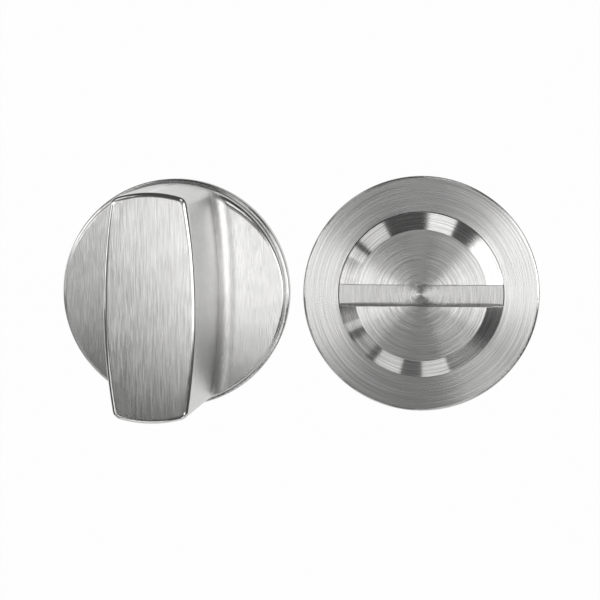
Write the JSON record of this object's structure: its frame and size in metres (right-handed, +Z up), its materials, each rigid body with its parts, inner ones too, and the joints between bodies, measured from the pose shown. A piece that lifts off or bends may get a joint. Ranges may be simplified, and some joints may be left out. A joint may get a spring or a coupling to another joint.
{
  "type": "bathroom thumb turn lock",
  "caption": "Bathroom door privacy set: a round rose with a barrel-shaped thumb turn, and a matching round rose with a coin-slot release.",
  "frame": {"origin": "on the thumb turn's axis, at the door's face, midway between its two connecting bolts", "axes": "+Y into the door along the turn's axis, -Y towards the user, +Z up, +X towards the coin release"},
  "size_m": [0.1058, 0.0989, 0.052],
  "materials": {
    "satin_steel": "satin stainless steel, brushed lengthwise on the turn and turned in circles on the release",
    "cast_plate": "die-cast zinc alloy, dull as cast",
    "bush_plastic": "natural acetal",
    "spring_steel": "oiled black spring steel",
    "plated_steel": "bright zinc plated steel"
  },
  "bodies": {
    "roses": {"turn_rose_cover": "satin_steel", "turn_fixing_plate": "cast_plate", "turn_bush": "bush_plastic", "turn_spring_washer": "spring_steel", "upper_bolt": "plated_steel", "lower_bolt": "plated_steel", "release_rose_cover": "satin_steel", "release_fixing_plate": "cast_plate", "release_bush": "bush_plastic", "release_spring_washer": "spring_steel", "upper_sleeve": "plated_steel", "lower_sleeve": "plated_steel"},
    "turn": {"turn_knob": "satin_steel", "turn_thrust_washer": "plated_steel", "turn_retaining_ring": "spring_steel", "spindle": "plated_steel", "spindle_grub_screw": "spring_steel"},
    "release": {"release_disc": "satin_steel", "release_thrust_washer": "plated_steel", "release_retaining_ring": "spring_steel"}
  },
  "joints": [
    {"name": "turn_hinge", "type": "hinge", "parent": "roses", "child": "turn", "pos_m": [0, 0, 0], "axis": [0, 1, 0], "range_deg": [0, 90]},
    {"name": "release_hinge", "type": "hinge", "parent": "roses", "child": "release", "pos_m": [0.0544, 0, 0], "axis": [0, 1, 0], "range_deg": [-90, 0]}
  ],
  "couplings": [
    {"joint": "release_hinge", "follows": "turn_hinge", "ratio": -1}
  ]
}
